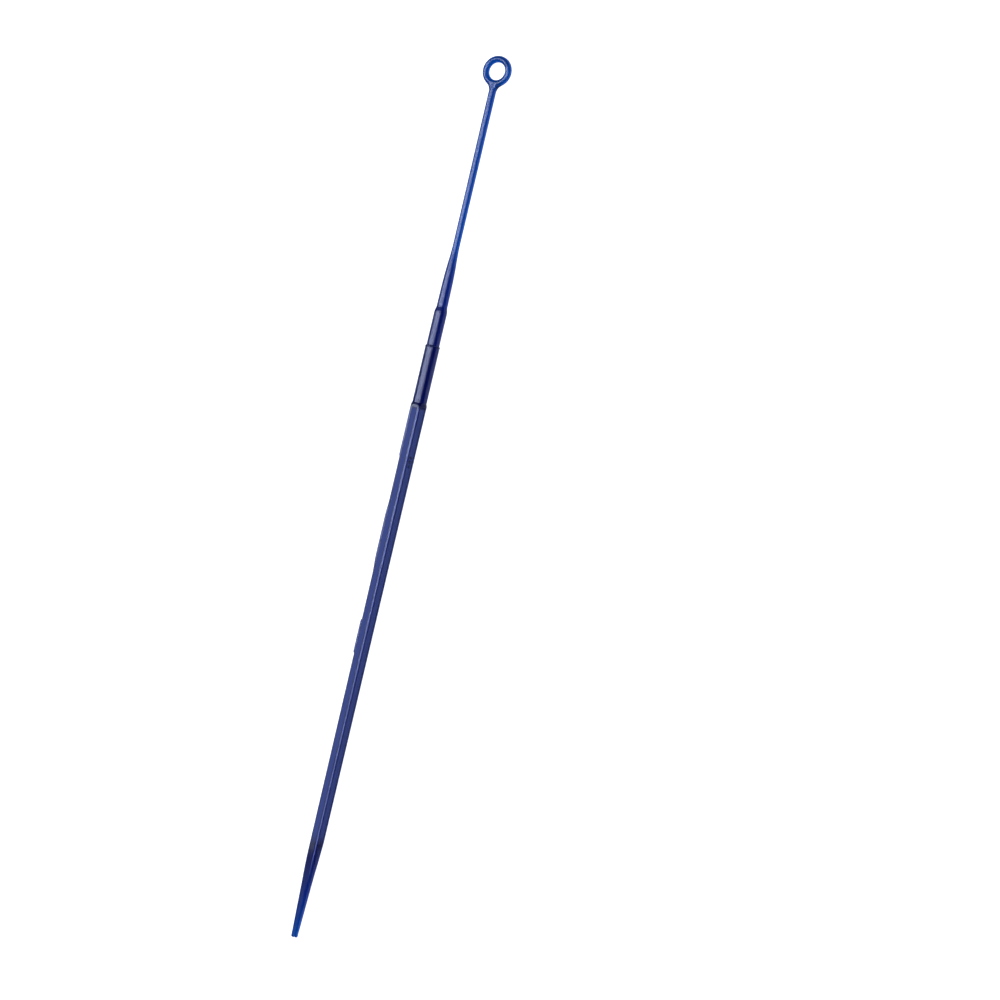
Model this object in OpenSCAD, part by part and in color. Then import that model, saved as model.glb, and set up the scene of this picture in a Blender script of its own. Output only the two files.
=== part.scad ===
// Disposable inoculating loop: a calibrated ring on a thin springy shank, which flares into two stepped
// round collars, a long tapering hexagonal finger grip and a round pointed tail.
// The real article is moulded in one shot. The nodes are its regions, and neighbours meet face to face.
// X runs along the loop with the ring at +X. The ring lies flat, so its bore is along Z, and the grip
// rests on one of its flats at Z = 0. The origin is below the middle of the length. Millimetres.

/* [Overall] */
// Length from the end of the tail to the far side of the ring
total_len = 198.8; // [190:0.1:205]

/* [Ring] */
// Bore of the calibrated ring
ring_bore_d = 4; // [3.8:0.05:4.2]
// Diameter of the round section that the ring is made of
ring_section_d = 1.5; // [1.45:0.01:1.6]
// How far the bore cuts into that section, which leaves a short straight wall inside the ring
ring_land_cut = 0.035; // [0.03:0.005:0.06]
// Width across the fillets where the ring runs into the shank
ring_neck_w = 2.7; // [2.3:0.1:3]
// Length of those fillets along the shank
ring_neck_len = 1; // [0.8:0.1:1.4]
// Height of the neck where it meets the ring, a little less than the ring's section
ring_neck_h = 1.48; // [1.4:0.01:1.49]

/* [Shank] */
// Diameter of the shank beside the ring
shank_front_d = 1.66; // [1.55:0.01:1.7]
// Diameter of the shank where the flare begins
shank_rear_d = 1.54; // [1.4:0.01:1.6]
// Length of the shank, from the ring's fillets to the flare
shank_len = 35.8; // [32:0.1:38]

/* [Flare and collars] */
// Length of the steep first part of the flare
flare_front_len = 5.9; // [5:0.1:7]
// Diameter where the steep part of the flare ends
flare_mid_d = 2.28; // [2.1:0.01:2.35]
// Length of the gentle second part of the flare
flare_rear_len = 7.1; // [6:0.1:8]
// Diameter at the thick end of the flare
flare_rear_d = 2.42; // [2.36:0.01:2.5]
// Diameter of the front collar
front_collar_d = 2.87; // [2.7:0.01:3]
// Length of the front collar, with the chamfer at its front
front_collar_len = 8.6; // [8:0.1:9]
// Length of that chamfer
front_collar_chamfer = 1; // [0.8:0.1:1.6]
// Diameter of the rear collar
rear_collar_d = 3.2; // [3.1:0.01:3.3]
// Length of the rear collar
rear_collar_len = 13; // [12:0.1:14]
// Width of the thin bead round the rear collar's front edge
bead_w = 0.35; // [0.3:0.05:0.5]
// Height of that bead above the collar
bead_h = 0.06; // [0.03:0.01:0.08]

/* [Grip] */
// Width across the flats at the front of the hexagonal grip
grip_front_af = 3.55; // [3.45:0.01:3.7]
// Width across the flats at the rear of the grip
grip_rear_af = 3.22; // [3.1:0.01:3.3]
// Height of the grip's axis above the flat that it rests on
axis_h = 1.69; // [1.68:0.01:1.75]
// Width across the narrow faces that blunt the ridges, as a multiple of the width across the flats
ridge_ratio = 1.106; // [1.09:0.002:1.12]
// Diameter of the grip's front end, where its shoulder begins
grip_nose_d = 3.3; // [3.25:0.01:3.32]
// Length of the conical shoulder at the front of the grip
shoulder_len = 0.8; // [0.6:0.1:1]
// Length of the grip, from its front end to where the tail's cone begins
grip_len = 97.6; // [90:0.1:100]

/* [Recesses on one side flat] */
// Depth of the front recess
front_recess_depth = 0.16; // [0.1:0.01:0.2]
// Depth of the middle recess
middle_recess_depth = 0.22; // [0.1:0.01:0.3]
// Depth of the rear recess, which runs out over the tail
rear_recess_depth = 0.24; // [0.1:0.01:0.3]

/* [Tail] */
// Length of the tail's slim rear cone, with the rounded end
tail_rear_len = 13; // [11:0.1:15]
// Diameter where the tail's front cone meets its rear one
tail_mid_d = 2.46; // [2.3:0.01:2.6]
// Diameter at the end of the tail
tail_end_d = 1.42; // [1.3:0.01:1.5]
// Length of the rounded end
tail_tip_len = 0.8; // [0.7:0.1:1]
// Radius of the rounding at the very end
tail_tip_round = 0.35; // [0.25:0.01:0.4]
// Depth of the small groove left in the end where the gate was twisted off
gate_groove_depth = 0.16; // [0.1:0.01:0.2]

/* [Cavity pips] */
// Diameter of a pip
pip_d = 0.5; // [0.4:0.05:0.6]
// Height of a pip above the flat
pip_h = 0.08; // [0.05:0.01:0.12]
// Distance from one pip to the next
pip_pitch = 0.95; // [0.8:0.05:1.1]
// Distance from the front of the grip to the first pip
pip_start = 12.2; // [11:0.1:14]

/* [Hidden] */
$fn = 96;

clear_blue = [0, 0.33, 0.72];
deep_blue = [0.02, 0.1, 0.42];
navy = [0.17, 0.24, 0.48];

// Places along X, from the ring backwards
ring_r = ring_bore_d / 2;
ring_mid_r = ring_r + ring_section_d / 2 - ring_land_cut;
ring_outer_r = ring_mid_r + ring_section_d / 2;
ring_x = total_len / 2 - ring_outer_r;
shank_front_x = ring_x - ring_outer_r - ring_neck_len;
flare_x = shank_front_x - shank_len;
flare_mid_x = flare_x - flare_front_len;
front_collar_x = flare_mid_x - flare_rear_len;
rear_collar_x = front_collar_x - front_collar_len;
grip_x = rear_collar_x - rear_collar_len;
tail_x = grip_x - grip_len;
end_x = -total_len / 2;
tail_mid_x = end_x + tail_rear_len;
tip_x = end_x + tail_tip_len;

// Half the width across the flats, which tapers evenly from the front of the grip to its rear
function flat_r(x) = (grip_front_af + (grip_rear_af - grip_front_af) * (grip_x - x) / grip_len) / 2;
// Radius of the tail's rear cone
function tail_r(x) = (tail_end_d + (tail_mid_d - tail_end_d) * (x - end_x) / tail_rear_len) / 2;

side_tilt = 60;     // from the top flat to the next one
cutter_w = 8;       // a cutting shape is wider than any section of the loop

// Recesses: distances behind the front of the grip, then the length of the ramp at each end
front_recess = [12, 25.8];
front_recess_ramps = [0.3, 4];
middle_recess = [34.3, 49.3];
middle_recess_ramps = [5, 0.3];
rear_recess = [56.4, grip_x - end_x];
rear_recess_ramps = [0.4, 0.4];

// Turned about the loop's own axis, with the children's +Z pointing along +X
module along_x(x) {
    translate([x, 0, axis_h]) rotate([0, 90, 0]) children();
}

// A round stretch from x_rear to x_front
module round_stretch(x_rear, x_front, rear_d, front_d) {
    along_x(x_rear) cylinder(d1 = rear_d, d2 = front_d, h = x_front - x_rear);
}

// A flat outline in X and height, drawn through the loop from side to side
module side_profile(points) {
    rotate([90, 0, 0]) linear_extrude(height = cutter_w, center = true) polygon(points);
}

// The round section swept round the ring, before the bore is cut
module ring_torus() {
    translate([ring_x, 0, axis_h]) rotate_extrude() translate([ring_mid_r, 0]) circle(d = ring_section_d);
}

// The space between two opposite sides of the bar, as a multiple of the distance from a flat to the axis.
// It runs past both ends of the bar.
module slab(ratio) {
    front = ratio * flat_r(grip_x + 1);
    rear = ratio * flat_r(end_x - 1);
    side_profile([[end_x - 1, -rear], [grip_x + 1, -front], [grip_x + 1, front], [end_x - 1, rear]]);
}

// The space between the flat that the grip rests on and the top flat, from one end of the bar to the other
module top_and_bottom() {
    side_profile([[end_x, -axis_h], [grip_x, -axis_h], [grip_x, flat_r(grip_x)], [end_x, flat_r(end_x)]]);
}

// The cut for one recess, from x_front back to x_rear, with a ramp at each end
module recess_cut(span, ramps, depth) {
    x_front = grip_x - span[0];
    x_rear = grip_x - span[1];
    side_profile([
        [x_front, flat_r(x_front)],
        [x_front - ramps[0], flat_r(x_front - ramps[0]) - depth],
        [x_rear + ramps[1], flat_r(x_rear + ramps[1]) - depth],
        [x_rear, flat_r(x_rear)],
        [x_rear, cutter_w / 2],
        [x_front, cutter_w / 2]
    ]);
}

// The hexagon from the front of the grip to the end of the tail, with its ridges blunted
module hexagon_bar() {
    translate([0, 0, axis_h]) difference() {
        intersection() {
            top_and_bottom();
            intersection_for(turn = [side_tilt, 2 * side_tilt]) rotate([turn, 0, 0]) slab(1);
            intersection_for(turn = [0.5, 1.5, 2.5] * side_tilt) rotate([turn, 0, 0]) slab(ridge_ratio);
        }
        rotate([-side_tilt, 0, 0]) {
            recess_cut(front_recess, front_recess_ramps, front_recess_depth);
            recess_cut(middle_recess, middle_recess_ramps, middle_recess_depth);
            recess_cut(rear_recess, rear_recess_ramps, rear_recess_depth);
        }
    }
}

module ring() {
    color(clear_blue) difference() {
        ring_torus();
        translate([ring_x, 0, axis_h]) cylinder(d = ring_bore_d, h = 2 * ring_section_d, center = true);
    }
}

module ring_neck() {
    color(clear_blue) difference() {
        intersection() {
            union() {
                round_stretch(shank_front_x, ring_x - ring_outer_r, shank_front_d, ring_neck_w);
                round_stretch(ring_x - ring_outer_r, ring_x - ring_mid_r, ring_neck_w, ring_neck_w);
            }
            translate([0, 0, axis_h]) side_profile([
                [shank_front_x, -shank_front_d / 2], [ring_x - ring_mid_r, -ring_neck_h / 2],
                [ring_x - ring_mid_r, ring_neck_h / 2], [shank_front_x, shank_front_d / 2]
            ]);
        }
        ring_torus();
    }
}

module shank() {
    color(clear_blue) round_stretch(flare_x, shank_front_x, shank_rear_d, shank_front_d);
}

module shank_flare() {
    color(deep_blue) union() {
        round_stretch(flare_mid_x, flare_x, flare_mid_d, shank_rear_d);
        round_stretch(front_collar_x, flare_mid_x, flare_rear_d, flare_mid_d);
    }
}

module front_collar() {
    chamfer_x = front_collar_x - front_collar_chamfer;
    color(deep_blue) union() {
        round_stretch(chamfer_x, front_collar_x, front_collar_d, flare_rear_d);
        round_stretch(rear_collar_x, chamfer_x, front_collar_d, front_collar_d);
    }
}

module rear_collar() {
    color(deep_blue) union() {
        round_stretch(grip_x, rear_collar_x, rear_collar_d, rear_collar_d);
        round_stretch(rear_collar_x - bead_w, rear_collar_x, rear_collar_d + 2 * bead_h,
                      rear_collar_d + 2 * bead_h);
    }
}

// The hexagon with a conical shoulder at its front, whose cone ends outside the ridges
module grip() {
    ridge_d = grip_front_af * ridge_ratio;
    cone_rear_x = grip_x - 2 * shoulder_len;
    color(navy) intersection() {
        hexagon_bar();
        union() {
            round_stretch(cone_rear_x, grip_x, 2 * ridge_d - grip_nose_d, grip_nose_d);
            round_stretch(tail_x, cone_rear_x, cutter_w, cutter_w);
        }
    }
}

// The front cone starts just outside the ridges, and cuts them first and the flats later, as on a
// sharpened pencil
module tail() {
    color(deep_blue) intersection() {
        hexagon_bar();
        union() {
            round_stretch(tail_mid_x, tail_x, tail_mid_d, 2 * flat_r(tail_x) * (ridge_ratio + 0.03));
            round_stretch(tip_x, tail_mid_x, 2 * tail_r(tip_x), tail_mid_d);
        }
    }
}

// The gate groove is a V across the very end
module tail_tip() {
    r = tail_r(tip_x);
    groove_side = gate_groove_depth * sqrt(2);
    color(clear_blue) difference() {
        along_x(tip_x) rotate([180, 0, 0]) rotate_extrude() intersection() {
            square([r, tail_tip_len]);
            union() {
                square([r, tail_tip_len - tail_tip_round]);
                square([r - tail_tip_round, tail_tip_len]);
                translate([r - tail_tip_round, tail_tip_len - tail_tip_round]) circle(r = tail_tip_round);
            }
        }
        translate([end_x, 0, axis_h]) rotate([2 * side_tilt, 0, 0]) rotate([0, 45, 0])
            cube([groove_side, cutter_w, groove_side], center = true);
    }
}

// Three raised dots in a row on the flat beside the top one
module cavity_pips() {
    color(navy) difference() {
        translate([0, 0, axis_h]) rotate([side_tilt, 0, 0]) for (i = [0:2]) {
            x = grip_x - pip_start - i * pip_pitch;
            translate([x, 0, 0]) cylinder(d = pip_d, h = flat_r(x) + pip_h);
        }
        hexagon_bar();
    }
}

ring();
ring_neck();
shank();
shank_flare();
front_collar();
rear_collar();
grip();
tail();
tail_tip();
cavity_pips();
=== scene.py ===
"""The looks of a disposable inoculating loop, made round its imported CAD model.

The real loop is one clear blue moulding, and light runs through it from end to end. So one closed mesh
stands for all ten of its CAD regions, with their places taken from the frame.
Lengths are in millimetres until the mesh is made, and in metres after that.
"""

import math

import bmesh
import bpy
import numpy as np
from mathutils import Matrix, Vector


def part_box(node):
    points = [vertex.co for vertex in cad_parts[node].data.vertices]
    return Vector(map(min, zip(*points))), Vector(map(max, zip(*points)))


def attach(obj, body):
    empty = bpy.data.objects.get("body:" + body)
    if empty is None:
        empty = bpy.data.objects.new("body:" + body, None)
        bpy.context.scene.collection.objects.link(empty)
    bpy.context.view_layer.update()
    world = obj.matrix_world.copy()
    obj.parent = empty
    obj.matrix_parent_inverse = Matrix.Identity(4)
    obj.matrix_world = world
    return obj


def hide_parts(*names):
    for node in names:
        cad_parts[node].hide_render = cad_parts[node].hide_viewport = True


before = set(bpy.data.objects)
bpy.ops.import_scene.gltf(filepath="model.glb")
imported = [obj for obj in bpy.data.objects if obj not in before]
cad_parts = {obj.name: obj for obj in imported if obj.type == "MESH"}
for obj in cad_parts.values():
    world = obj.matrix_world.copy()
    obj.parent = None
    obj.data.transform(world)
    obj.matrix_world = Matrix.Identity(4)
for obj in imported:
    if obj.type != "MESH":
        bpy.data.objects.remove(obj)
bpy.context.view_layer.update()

MM = 0.001

# Ring and shank
BORE_R = 2.0
LAND_EDGE = 0.012       # softness of the two edges of the straight land inside the bore
LAND_REACH = 0.2        # points further out than this from the bore stay where they are
NECK_BLEND = 1.35       # reach of the fillets where the ring runs into the shank
SHANK_FRONT_R = 0.83
SHANK_REAR_R = 0.77

# Flare and collars
FLARE_MID_X = 5.9       # behind the start of the flare
FLARE_MID_R = 1.14
FLARE_REAR_R = 1.21
COLLAR_CHAMFER = 1.0
FRONT_COLLAR_R = 1.435
REAR_COLLAR_R = 1.6
BEAD_W = 0.35
BEAD_H = 0.06
BEAD_RISE = 0.2         # length of the slope up to the bead

# Hexagonal grip
FLAT_FRONT_R = 1.775    # from the axis to a flat at the front of the grip
FLAT_REAR_R = 1.61      # and at its rear
REST_FLAT_R = 1.69      # to the flat that the grip rests on, which doesn't taper
NOSE_R = 1.65           # radius of the grip's very front
SHOULDER_LEN = 0.8
RIDGE_POWER = 16        # a higher power makes the six ridges sharper
ROUND_POWER = 110       # the same for the edge between the hexagon and a cone
SHARP_RATIO = 1 / math.cos(math.radians(30))  # from the axis to a sharp ridge, in multiples of that to a flat
RIDGE_RATIO = SHARP_RATIO * 2 ** (-1 / RIDGE_POWER)     # and to a ridge as it is
PANEL_SINK = 0.06       # the middle of each flat is sunk by this much
PANEL_EDGES = (17.0, 22.5)  # degrees from the middle of a flat between which the sunk panel ends
RIDGE_HIGHLIGHT_EDGES = (0.0, 3.2)    # degrees from the top of the ridges between which the painted highlight line along them fades
RECESSES = (            # start and end behind the front of the grip, lengths of the two ramps, depth
    (12.0, 25.8, 0.3, 4.0, 0.16),
    (34.3, 49.3, 5.0, 0.3, 0.22),
    (56.4, 140.0, 0.4, 0.4, 0.24),  # runs on into the tail
)
RECESSED, RESTING, PIPPED = 60, 180, 300  # directions of three flats, in degrees from +Z towards +Y

# Pips
PIP_COUNT = 3
PIP_R = 0.25
PIP_TOP = 0.35          # share of its radius where a pip is at its full height
PIP_GLOSS = (0.8, 1.5)  # multiples of its radius between which the polish round a pip turns to satin
PIP_H = 0.08
PIP_PITCH = 0.95
PIP_START = 12.2        # of the first one, behind the front of the grip

# Tail
TAIL_LEAD = 2.0         # length ahead of it over which the round limit comes in to the ridges
TAIL_FRONT_R = FLAT_REAR_R * (RIDGE_RATIO + 0.03)   # just outside the ridges
TAIL_REAR_LEN = 13.0    # length of its slim rear cone, with the rounded end
TAIL_MID_R = 1.23       # where the front cone meets the rear one
TAIL_END_R = 0.71
TAIL_ROUND = 0.35       # reach of the rounding of its end
PANEL_RUNOUT = (-4, 1)  # distances ahead of the tail's front where the panels' satin is gone and is full
RIDGE_HIGHLIGHT_RUNOUT = (-12, -1)    # the same for the painted highlight lines along the ridges
GROOVE_DEPTH = 0.16
GROOVE_EDGE = 0.03      # softness of the bottom of the groove
GROOVE_REACH = 0.5      # how far the groove's shape fades into the tail
GROOVE_TILT = 60        # degrees from +Z towards +Y of the direction across the groove

# Mesh density
RING_STEPS = 300
SECTION_STEPS = 106
NECK_STEPS = 20
HALF_FLAT = (0, 6, 12)  # directions of points, in degrees from the middle of a flat
PIPPED_HALF_FLAT = tuple(1.2 * i for i in range(11))    # closer together under the pips
HALF_RIDGE = (15, 17, 19, 21, 22.5, 24, 25.5, 27, 28.5)  # and towards a ridge, which is at 30
LONGEST_STEP = 1.5      # along the body
LEAST_STEP = 0.02
RADIAL_STEP = 0.06      # on faces across the body
LAST_ROW_R = 0.02       # of the row of points round the one that closes the tail


def extent(node):
    """The lowest and highest corner of a CAD node, in millimetres."""
    low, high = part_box(node)
    return np.array(low) / MM, np.array(high) / MM


RING_LOW, RING_HIGH = extent("ring")
AXIS_H = (RING_LOW[2] + RING_HIGH[2]) / 2
SECTION_R = (RING_HIGH[2] - RING_LOW[2]) / 2
RING_OUTER_R = (RING_HIGH[1] - RING_LOW[1]) / 2
RING_MID_R = RING_OUTER_R - SECTION_R
RING_X = RING_HIGH[0] - RING_OUTER_R
SHANK_X = extent("shank")[1][0]
FLARE_X = extent("shank_flare")[1][0]
FRONT_COLLAR_X = extent("front_collar")[1][0]
REAR_COLLAR_X = extent("rear_collar")[1][0]
GRIP_X = extent("grip")[1][0]
TAIL_X = extent("tail")[1][0]
TIP_X = extent("tail_tip")[1][0]
END_X = extent("tail_tip")[0][0]
PIP_XS = [GRIP_X - PIP_START - i * PIP_PITCH for i in range(PIP_COUNT)]


def ease(value, start, end):
    """0 before start and 1 after end, with a smooth change between them."""
    t = np.clip((value - start) / (end - start), 0, 1)
    return t * t * (3 - 2 * t)


# ---------------------------------------------------------------- the long round and hexagonal body


def flat_r(x):
    """From the axis to a flat of the grip."""
    return FLAT_FRONT_R + (FLAT_REAR_R - FLAT_FRONT_R) * (GRIP_X - x) / (GRIP_X - TAIL_X)


def recess_depth(x):
    """How deep the recesses are in the recessed flat."""
    depth = 0.0
    behind = GRIP_X - x
    for start, end, front_ramp, rear_ramp, full in RECESSES:
        depth += full * ease(behind, start, start + front_ramp) * (1 - ease(behind, end - rear_ramp, end))
    return depth


def column_angles():
    """The directions round the axis in which the body has a line of points, close together on the ridges."""
    angles = []
    for flat in range(0, 360, 60):
        half = (PIPPED_HALF_FLAT if flat == PIPPED else HALF_FLAT) + HALF_RIDGE
        angles += [flat + a for a in (*(-a for a in reversed(half[1:])), *half, 30)]
    return np.array(angles, float)


COLUMNS = column_angles()
ACROSS = np.sin(np.radians(COLUMNS))
UP = np.cos(np.radians(COLUMNS))


def on_panel(degrees):
    """1 on the sunk middle of each flat and 0 on the ridges, by the direction from the axis."""
    return 1 - ease(np.abs((degrees + 30) % 60 - 30), *PANEL_EDGES)


def rounded(corners, steps=8):
    """A smooth outline through (x, radius, rounding) corners, where rounding is how far each bend reaches."""
    outline = [corners[0][:2]]
    for before, corner, after in zip(corners, corners[1:], corners[2:]):
        p, q, r = (np.array(c[:2], float) for c in (before, corner, after))
        start = q + (p - q) * min(corner[2] / np.linalg.norm(p - q), 0.5)
        end = q + (r - q) * min(corner[2] / np.linalg.norm(r - q), 0.5)
        for t in np.linspace(0, 1, steps):
            outline.append((1 - t) ** 2 * start + 2 * t * (1 - t) * q + t**2 * end)
    outline.append(corners[-1][:2])
    return [tuple(p) for p in outline]


def body_outline():
    """(x, radius) of the round shape that limits the body, from the ring's neck to the end of the tail."""
    tip_r = TAIL_END_R + (TAIL_MID_R - TAIL_END_R) * (TIP_X - END_X) / TAIL_REAR_LEN
    return rounded([
        (SHANK_X, SHANK_FRONT_R, 0),
        (FLARE_X, SHANK_REAR_R, 1.5),
        (FLARE_X - FLARE_MID_X, FLARE_MID_R, 2.5),
        (FRONT_COLLAR_X, FLARE_REAR_R, 0.12),
        (FRONT_COLLAR_X - COLLAR_CHAMFER, FRONT_COLLAR_R, 0.2),
        (REAR_COLLAR_X, FRONT_COLLAR_R, 0.05),
        (REAR_COLLAR_X - BEAD_RISE, REAR_COLLAR_R + BEAD_H, 0.08),
        (REAR_COLLAR_X - BEAD_W, REAR_COLLAR_R + BEAD_H, 0.08),
        (REAR_COLLAR_X - BEAD_W - 2 * BEAD_H, REAR_COLLAR_R, 0.1),
        (GRIP_X, REAR_COLLAR_R, 0.03),
        (GRIP_X, NOSE_R, 0.03),
        (GRIP_X - SHOULDER_LEN, FLAT_FRONT_R * RIDGE_RATIO, 0.1),
        (GRIP_X - 1.5 * SHOULDER_LEN, FLAT_FRONT_R * SHARP_RATIO, 0.3),
        (TAIL_X + TAIL_LEAD, FLAT_REAR_R * SHARP_RATIO, 1),
        (TAIL_X, TAIL_FRONT_R, 1),
        (END_X + TAIL_REAR_LEN, TAIL_MID_R, 2),
        (TIP_X, tip_r, 0.3),
        (END_X, tip_r, TAIL_ROUND),
        (END_X, LAST_ROW_R, 0),
    ])


def stations():
    """Places along X that need a ring of points: everywhere at long steps, and closely at small shapes."""
    places = [np.arange(END_X, SHANK_X, LONGEST_STEP)]
    places.append(np.arange(PIP_XS[-1] - 2 * PIP_R, PIP_XS[0] + 2 * PIP_R, PIP_R / 4))
    for start, end, front_ramp, rear_ramp, _ in RECESSES:
        places.append(GRIP_X - start - np.linspace(0, front_ramp, 11))
        places.append(GRIP_X - end + np.linspace(0, rear_ramp, 11))
    return np.unique(np.concatenate(places))[::-1]


def refined(outline, places):
    """The outline with more points: at the given places along X, and close together on steps."""
    fine = [outline[0]]
    for (x0, r0), (x1, r1) in zip(outline, outline[1:]):
        if x0 - x1 > 2.5 * LEAST_STEP:
            inner = [x for x in places if x1 + LEAST_STEP < x < x0 - LEAST_STEP]
            fine += [(x, r0 + (r1 - r0) * (x0 - x) / (x0 - x1)) for x in inner]
        else:
            count = math.ceil(abs(r1 - r0) / RADIAL_STEP)
            fine += [(x0 + (x1 - x0) * i / count, r0 + (r1 - r0) * i / count) for i in range(1, count)]
        fine.append((x1, r1))
    return [p for i, p in enumerate(fine) if i == 0 or math.dist(p, fine[i - 1]) > 1e-4]


def section_radii(x, round_r):
    """The radius of the body in each column at one place, inside a hexagon and a circle."""
    if x > GRIP_X:
        return np.full(len(COLUMNS), round_r)
    inverse = np.zeros(len(COLUMNS))
    for flat in range(0, 360, 60):
        distance = REST_FLAT_R if flat == RESTING else flat_r(x)
        if flat == RECESSED:
            distance -= recess_depth(x)
        facing = np.clip(np.cos(np.radians(COLUMNS - flat)), 0, None)
        inverse += (facing / distance) ** RIDGE_POWER
    hexagon = inverse ** (1 / RIDGE_POWER)
    radii = (hexagon**ROUND_POWER + round_r**-ROUND_POWER) ** (-1 / ROUND_POWER)
    sunk = ease(GRIP_X - x, SHOULDER_LEN, 3 * SHOULDER_LEN) * ease(radii, TAIL_END_R, FLAT_REAR_R)
    return radii - PANEL_SINK * sunk * on_panel(COLUMNS) + pip_height(x, radii)


def pip_height(x, radii):
    """How far the pips raise each column at one place."""
    local = np.radians(COLUMNS - PIPPED)
    sideways = radii * np.sin(local)
    height = np.zeros(len(COLUMNS))
    for pip_x in PIP_XS:
        distance = np.hypot(x - pip_x, sideways)
        height += PIP_H * (1 - ease(distance / PIP_R, PIP_TOP, 1)) * (np.cos(local) > 0)
    return height


def cut_groove(points):
    """Presses the gate groove, a V across the very end, into the tail."""
    tilt = math.radians(GROOVE_TILT)
    across = points[:, 1] * math.sin(tilt) + (points[:, 2] - AXIS_H) * math.cos(tilt)
    depth = np.clip(GROOVE_DEPTH + GROOVE_EDGE - np.hypot(across, GROOVE_EDGE), 0, None)
    behind = points[:, 0] - END_X
    near = behind < GROOVE_REACH
    points[near, 0] += depth[near] * (1 - behind[near] / GROOVE_REACH)
    return points


def body_rings():
    """One row of points round the axis for each place on the outline."""
    rings = []
    for x, round_r in refined(body_outline(), stations()):
        radii = section_radii(x, round_r)
        points = np.column_stack((np.full(len(COLUMNS), x), radii * ACROSS, AXIS_H + radii * UP))
        rings.append(cut_groove(points) if x < END_X + GROOVE_REACH else points)
    return rings


# ---------------------------------------------------------------- the ring and its neck


def ring_field(points):
    """Zero on the surface of the ring and its neck, negative inside and positive outside.
    The two centre lines are blended in the ring's plane, so the fillets don't thicken it."""
    x, y, z = points[:, 0] - RING_X, points[:, 1], points[:, 2] - AXIS_H
    from_ring = np.hypot(x, y) - RING_MID_R
    from_shank = np.hypot(np.clip(x + RING_MID_R, 0, None), y)
    share = np.clip(0.5 + 0.5 * (from_shank - from_ring) / NECK_BLEND, 0, 1)
    blend = from_shank + (from_ring - from_shank) * share - NECK_BLEND * share * (1 - share)
    planar = np.where(from_ring < 0, -from_ring, np.clip(blend, 0, None))
    along_neck = ease(-x, RING_MID_R, RING_X - SHANK_X)
    return np.hypot(planar, z) - (SECTION_R + (SHANK_FRONT_R - SECTION_R) * along_neck)


def settled(points, rounds=14, reach=1e-4):
    """The points moved on to the surface of ring_field."""
    for _ in range(rounds):
        value = ring_field(points)
        slope = np.empty_like(points)
        for axis in range(3):
            offset = np.zeros(3)
            offset[axis] = reach
            slope[:, axis] = (ring_field(points + offset) - ring_field(points - offset)) / (2 * reach)
        steepness = np.maximum((slope**2).sum(1), 0.05)
        points = points - slope * (value / steepness)[:, None]
    return points


def bored(points):
    """The points with the bore's straight land cut into them."""
    x, y = points[:, 0] - RING_X, points[:, 1]
    radius = np.hypot(x, y)
    past = radius - BORE_R
    open_radius = BORE_R + (past + np.sqrt(past**2 + LAND_EDGE**2)) / 2
    scale = np.where(past < LAND_REACH, open_radius / np.maximum(radius, 1e-6), 1.0)
    return np.column_stack((RING_X + x * scale, y * scale, points[:, 2]))


def ring_grid():
    """Points of the whole ring, by step round it and by step round its section."""
    u = np.radians(np.arange(RING_STEPS) * 360 / RING_STEPS)[:, None]
    v = np.radians(np.arange(SECTION_STEPS) * 360 / SECTION_STEPS)[None, :]
    out = RING_MID_R + SECTION_R * np.cos(v)
    grid = np.stack((RING_X + out * np.cos(u), out * np.sin(u), AXIS_H + SECTION_R * np.sin(v) + 0 * u), -1)
    return bored(settled(grid.reshape(-1, 3)))


def neck_opening():
    """Indices of the points round the square opening that the neck joins, in order, and a test for the
    faces inside it. It faces the shank and has as many sides as the body has columns."""
    half = len(COLUMNS) // 8
    u0, side = RING_STEPS // 2, range(-half, half)
    loop = [(u0 + i, -half) for i in side] + [(u0 + half, i) for i in side]
    loop += [(u0 - i, half) for i in side] + [(u0 - half, -i) for i in side]

    def inside(u, v):
        signed_v = v if v < SECTION_STEPS / 2 else v - SECTION_STEPS
        return u0 - half <= u < u0 + half and -half <= signed_v < half

    return [u * SECTION_STEPS + v % SECTION_STEPS for u, v in loop], inside


def in_step(loop, points, ring):
    """The loop turned round, and reversed if need be, so that it runs beside the ring of points."""
    def direction(p):
        return np.arctan2(p[:, 1], p[:, 2] - AXIS_H)

    best = None
    for order in (loop, loop[::-1]):
        for turn in range(len(loop)):
            turned = order[turn:] + order[:turn]
            gap = np.angle(np.exp(1j * (direction(points[turned]) - direction(ring))))
            cost = (gap**2).sum()
            if best is None or cost < best[0]:
                best = (cost, turned)
    return best[1]


# ---------------------------------------------------------------- one closed mesh


def band(first, second):
    """Faces between two closed rows of point indices."""
    n = len(first)
    return [(first[i], first[(i + 1) % n], second[(i + 1) % n], second[i]) for i in range(n)]


def loop_mesh():
    """The whole moulding as points and faces."""
    rings = body_rings()
    points = ring_grid()
    opening, inside = neck_opening()
    faces = []
    for u in range(RING_STEPS):
        for v in range(SECTION_STEPS):
            if not inside(u, v):
                corners = ((u, v), (u + 1, v), (u + 1, v + 1), (u, v + 1))
                faces.append([a % RING_STEPS * SECTION_STEPS + b % SECTION_STEPS for a, b in corners])
    row = in_step(opening, points, rings[0])
    start = points[row]
    parts, count = [points], len(points)
    neck = [settled(start + (rings[0] - start) * i / NECK_STEPS) for i in range(1, NECK_STEPS)]
    for ring in neck + rings:
        following = list(range(count, count + len(ring)))
        faces += band(row, following)
        parts.append(ring)
        row, count = following, count + len(ring)
    parts.append(rings[-1].mean(0)[None, :])
    faces += [(row[i], row[(i + 1) % len(row)], count) for i in range(len(row))]
    return np.concatenate(parts) * MM, faces


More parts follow.
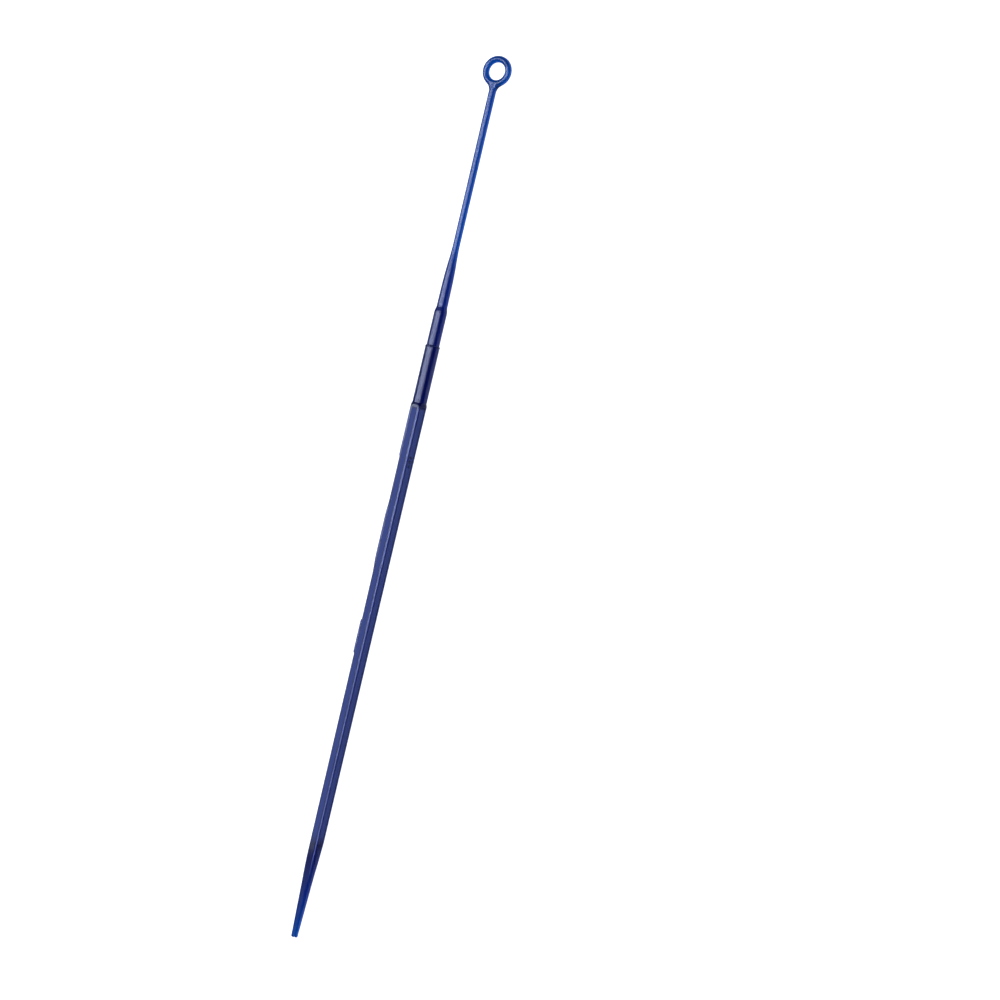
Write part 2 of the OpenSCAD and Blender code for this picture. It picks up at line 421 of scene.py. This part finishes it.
def on_pips(x, y, z):
    """1 on the pips and 0 beyond them."""
    tilt = math.radians(PIPPED)
    sideways = y * math.cos(tilt) - z * math.sin(tilt)
    outwards = y * math.sin(tilt) + z * math.cos(tilt)
    cover = np.zeros(len(x))
    for pip_x in PIP_XS:
        distance = np.hypot(x - pip_x, sideways)
        cover += (1 - ease(distance / PIP_R, *PIP_GLOSS)) * (outwards > 0)
    return cover


def along_grip(x, runout):
    """1 along the grip, with a fade just behind its shoulder and one at the tail."""
    return ease(GRIP_X - x, SHOULDER_LEN, 2 * SHOULDER_LEN) * ease(x, TAIL_X + runout[0], TAIL_X + runout[1])


def surface_shares(points):
    """For each point, how much it lies on a satin panel and how much under the painted highlight along the
    grip's ridges, from 0 to 1.
    """
    x, y, z = points[:, 0] / MM, points[:, 1] / MM, points[:, 2] / MM - AXIS_H
    degrees = np.degrees(np.arctan2(y, z))
    satin = on_panel(degrees) * (1 - on_pips(x, y, z))
    # where the painted highlight line lies along the ridges
    ridge_highlight = 1 - ease(np.abs(degrees % 60 - 30), *RIDGE_HIGHLIGHT_EDGES)
    return {"satin": satin * along_grip(x, PANEL_RUNOUT), "ridge_highlight": ridge_highlight * along_grip(x, RIDGE_HIGHLIGHT_RUNOUT)}


def make_object():
    """The loop as one piece, with its surface shares as attributes for the material."""
    points, faces = loop_mesh()
    mesh = bpy.data.meshes.new("moulded_loop")
    mesh.from_pydata(points.tolist(), [], faces)
    bm = bmesh.new()
    bm.from_mesh(mesh)
    bmesh.ops.recalc_face_normals(bm, faces=bm.faces)
    bm.to_mesh(mesh)
    bm.free()
    mesh.shade_smooth()
    for name, share in surface_shares(points).items():
        attribute = mesh.attributes.new(name, "FLOAT", "POINT")
        attribute.data.foreach_set("value", share.astype(np.float32))
    piece = bpy.data.objects.new("moulded_loop", mesh)
    bpy.context.scene.collection.objects.link(piece)
    return piece


# ---------------------------------------------------------------- material


STYRENE_IOR = 1.59
CLEAR_TINTS = ((0.30, 0.84, 0.96, 1), (0.40, 0.92, 1.0, 1))
ABSORPTION_COLOUR = (0.0, 0.64, 0.86, 1)
ABSORPTION = 4600.0         # a metre
PANEL_COLOUR = (0.13, 0.19, 0.52, 1)
PANEL_HAZE = 0.25           # share of the light that a satin panel scatters instead of letting through
PANEL_COLOURED = 0.4        # a panel takes on its colour up to this share, and its haze past it
# The pale blue line along the grip's ridges is a painted highlight: its colour and diffuse share stand in for
# the light that the ridges catch.
RIDGE_HIGHLIGHT_COLOUR = (0.36, 0.42, 1.0, 1)
RIDGE_HIGHLIGHT_SHARE = 0.7
RIDGE_HIGHLIGHT_FULL_AT = 0.3        # the share at which the ridges have the whole colour of their painted highlight
POLISH = (0.275, 0.3)       # roughness of the clear plastic, which varies along the flow lines
SATIN = (0.5, 0.64)         # what a panel adds to it, which varies from streak to streak
GRIT = 0.5                  # height of the panels' grain, as a share of that of their streaks
STREAK_HEIGHT = 0.006 * MM
NOISE_RANGE = (0.3, 0.7)    # where nearly all values of a noise lie


def set_inputs(node, **values):
    """Sets sockets by name, with _ for each space."""
    for name, value in values.items():
        node.inputs[name.replace("_", " ")].default_value = value


def ranged(tree, value, low, high, from_low=0.0, from_high=1.0):
    """A Map Range node that takes value from its range to low..high."""
    node = tree.nodes.new("ShaderNodeMapRange")
    tree.links.new(value, node.inputs["Value"])
    set_inputs(node, From_Min=from_low, From_Max=from_high, To_Min=low, To_Max=high)
    return node.outputs["Result"]


def math_node(tree, operation, a, b):
    """A Math node, where a and b are each a number or a socket."""
    node = tree.nodes.new("ShaderNodeMath")
    node.operation = operation
    for socket, value in zip(node.inputs, (a, b)):
        if isinstance(value, (int, float)):
            socket.default_value = value
        else:
            tree.links.new(value, socket)
    return node.outputs["Value"]


def noise(tree, per_metre, detail=2.0):
    """Noise in the loop's own frame, with its number of features a metre along X, Y and Z."""
    where = tree.nodes.new("ShaderNodeTexCoord")
    mapping = tree.nodes.new("ShaderNodeMapping")
    mapping.inputs["Scale"].default_value = per_metre
    tree.links.new(where.outputs["Object"], mapping.inputs["Vector"])
    texture = tree.nodes.new("ShaderNodeTexNoise")
    set_inputs(texture, Scale=1.0, Detail=detail)
    tree.links.new(mapping.outputs["Vector"], texture.inputs["Vector"])
    return texture.outputs["Fac"]


def surface_share(tree, name):
    """One of the attributes that surface_shares gives each point."""
    node = tree.nodes.new("ShaderNodeAttribute")
    node.attribute_name = name
    return node.outputs["Fac"]


def tinted(tree, flow):
    """The clear plastic's colour, which varies a little along its flow lines."""
    ramp = tree.nodes.new("ShaderNodeValToRGB")
    for element, colour in zip(ramp.color_ramp.elements, CLEAR_TINTS):
        element.color = colour
    tree.links.new(flow, ramp.inputs["Fac"])
    return ramp.outputs["Color"]


def over(tree, below, colour, share, full_at):
    """A colour laid over another one, which covers it where share reaches full_at."""
    mix = tree.nodes.new("ShaderNodeMix")
    mix.data_type = "RGBA"
    mix.inputs["B"].default_value = colour
    tree.links.new(ranged(tree, share, 0.0, 1.0, 0.0, full_at), mix.inputs["Factor"])
    tree.links.new(below, mix.inputs["A"])
    return mix.outputs["Result"]


def blue_plastic():
    """Clear blue styrene: softly polished, with hazy satin panels and a painted highlight along the ridges of
    the grip, and with faint flow lines along it."""
    material = bpy.data.materials.new("clear_blue_styrene")
    material.use_nodes = True
    tree = material.node_tree
    shader = tree.nodes["Principled BSDF"]
    set_inputs(shader, Transmission_Weight=1.0, IOR=STYRENE_IOR)

    panel = surface_share(tree, "satin")
    ridge_highlight = surface_share(tree, "ridge_highlight")
    streaks = noise(tree, (120, 5200, 5200), detail=3.0)
    grain = noise(tree, (9000, 9000, 9000))
    flow = noise(tree, (60, 900, 900))

    colour = over(tree, tinted(tree, flow), PANEL_COLOUR, panel, PANEL_COLOURED)
    # painted highlight: a pale blue line along each of the grip's ridges
    colour = over(tree, colour, RIDGE_HIGHLIGHT_COLOUR, ridge_highlight, RIDGE_HIGHLIGHT_FULL_AT)
    tree.links.new(colour, shader.inputs["Base Color"])
    clear = ranged(tree, panel, 1.0, 1.0 - PANEL_HAZE, PANEL_COLOURED, 1.0)
    # the painted highlights along the ridges are mostly diffuse, so the lamps light them
    clear = math_node(tree, "SUBTRACT", clear, ranged(tree, ridge_highlight, 0.0, RIDGE_HIGHLIGHT_SHARE))
    tree.links.new(clear, shader.inputs["Transmission Weight"])

    polish = ranged(tree, flow, *POLISH, *NOISE_RANGE)
    matt = math_node(tree, "MULTIPLY", panel, ranged(tree, streaks, *SATIN, *NOISE_RANGE))
    tree.links.new(math_node(tree, "ADD", polish, matt), shader.inputs["Roughness"])

    lines = math_node(tree, "MULTIPLY", streaks, panel)
    grit = math_node(tree, "MULTIPLY", grain, ranged(tree, panel, 0.0, GRIT))
    bump = tree.nodes.new("ShaderNodeBump")
    set_inputs(bump, Strength=1.0, Distance=STREAK_HEIGHT)
    tree.links.new(math_node(tree, "ADD", lines, grit), bump.inputs["Height"])
    tree.links.new(bump.outputs["Normal"], shader.inputs["Normal"])

    absorption = tree.nodes.new("ShaderNodeVolumeAbsorption")
    set_inputs(absorption, Color=ABSORPTION_COLOUR, Density=ABSORPTION)
    tree.links.new(absorption.outputs["Volume"], tree.nodes["Material Output"].inputs["Volume"])
    return material


# ---------------------------------------------------------------- room


WHITE = (1, 1, 1, 1)
CAMERA_HEIGHT = math.radians(64.5)  # above the floor, as an angle
CAMERA_ROLL = math.radians(13.2)
CAMERA_AIM_X = 0.0044               # the camera looks at this place along the loop
CAMERA_AIM_BESIDE = 0.0221          # and this far to the right of it in the picture
CAMERA_DISTANCE = 0.6956
CAMERA_LENS = 114
FLOOR_R = 1.2
FLOOR_ALBEDO = 0.5
FLOOR_GLOW = 0.42                   # how brightly the floor shines through the loop
SURROUND_GLOW = 0.02                # how bright everything past the floor is to the loop
LAMP_COLOUR = (0.84, 0.95, 1.36)


def make_camera():
    """A long lens that looks steeply down on the loop, with the ring at the top of the picture."""
    x_axis = Vector((1, 0, 0))
    towards = Vector((0, -math.cos(CAMERA_HEIGHT), math.sin(CAMERA_HEIGHT)))
    beside = x_axis.cross(towards)
    right = math.sin(CAMERA_ROLL) * x_axis + math.cos(CAMERA_ROLL) * beside
    up = towards.cross(right)
    aim = Vector((CAMERA_AIM_X, 0, AXIS_H * MM)) + CAMERA_AIM_BESIDE * beside
    camera = bpy.data.objects.new("camera", bpy.data.cameras.new("camera"))
    camera.data.lens = CAMERA_LENS
    camera.data.clip_start = 0.01
    turn = Matrix((right, up, towards)).transposed().to_4x4()
    camera.matrix_world = Matrix.Translation(aim + CAMERA_DISTANCE * towards) @ turn
    bpy.context.scene.collection.objects.link(camera)
    bpy.context.scene.camera = camera


def make_floor():
    """A round sheet under the loop, well past the edges of the picture."""
    bm = bmesh.new()
    bmesh.ops.create_circle(bm, cap_ends=True, segments=96, radius=FLOOR_R)
    mesh = bpy.data.meshes.new("floor")
    bm.to_mesh(mesh)
    bm.free()
    floor = bpy.data.objects.new("floor", mesh)
    bpy.context.scene.collection.objects.link(floor)
    mesh.materials.append(white_paper())


def white_paper():
    """Matt white paper. It also glows, as plain white to the camera and less through the loop, but the loop
    mirrors it only as the lamps light it."""
    material = bpy.data.materials.new("white_paper")
    material.use_nodes = True
    tree = material.node_tree
    shader = tree.nodes["Principled BSDF"]
    set_inputs(shader, Base_Color=(FLOOR_ALBEDO,) * 3 + (1,), Roughness=1.0, Specular_IOR_Level=0.0)
    set_inputs(shader, Emission_Color=WHITE)
    paths = tree.nodes.new("ShaderNodeLightPath")
    through = math_node(tree, "MULTIPLY", paths.outputs["Is Transmission Ray"], FLOOR_GLOW)
    glow = math_node(tree, "ADD", paths.outputs["Is Camera Ray"], through)
    tree.links.new(glow, shader.inputs["Emission Strength"])
    return material


def make_softbox(name, direction, distance, size, radiance, mirrored):
    """A soft lamp that faces the loop, with its size along X and then across it. One that isn't mirrored
    lights the floor and the haze, and makes no highlight."""
    data = bpy.data.lights.new(name, "AREA")
    data.shape = "RECTANGLE"
    data.size, data.size_y = size
    data.energy = radiance * math.pi * size[0] * size[1]
    data.color = LAMP_COLOUR
    lamp = bpy.data.objects.new(name, data)
    direction = Vector(direction).normalized()
    across = direction.cross(Vector((1, 0, 0))).normalized()
    turn = Matrix((across.cross(direction), across, direction)).transposed().to_4x4()
    lamp.matrix_world = Matrix.Translation(direction * distance) @ turn
    lamp.visible_glossy = mirrored
    lamp.visible_transmission = mirrored
    bpy.context.scene.collection.objects.link(lamp)


def make_world():
    """White where the camera sees past the floor, and nearly black to the loop."""
    world = bpy.data.worlds.new("room")
    world.use_nodes = True
    tree = world.node_tree
    paths = tree.nodes.new("ShaderNodeLightPath")
    strength = ranged(tree, paths.outputs["Is Camera Ray"], SURROUND_GLOW, 1.0)
    background = tree.nodes["Background"]
    set_inputs(background, Color=WHITE)
    tree.links.new(strength, background.inputs["Strength"])
    bpy.context.scene.world = world


piece = make_object()
piece.data.materials.append(blue_plastic())
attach(piece, "root")
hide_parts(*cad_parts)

make_camera()
make_floor()
make_softbox("overhead_softbox", (0.1, 0.366, 0.93), 1.1, (0.35, 1.66), 5.8, mirrored=True)
make_softbox("edge_strip", (0.1, -0.33, 0.944), 1.0, (0.35, 0.09), 8, mirrored=True)
make_softbox("key", (0, -0.5, 0.866), 1.0, (0.25, 0.25), 28, mirrored=False)
make_world()
bpy.context.scene.view_settings.view_transform = "Standard"
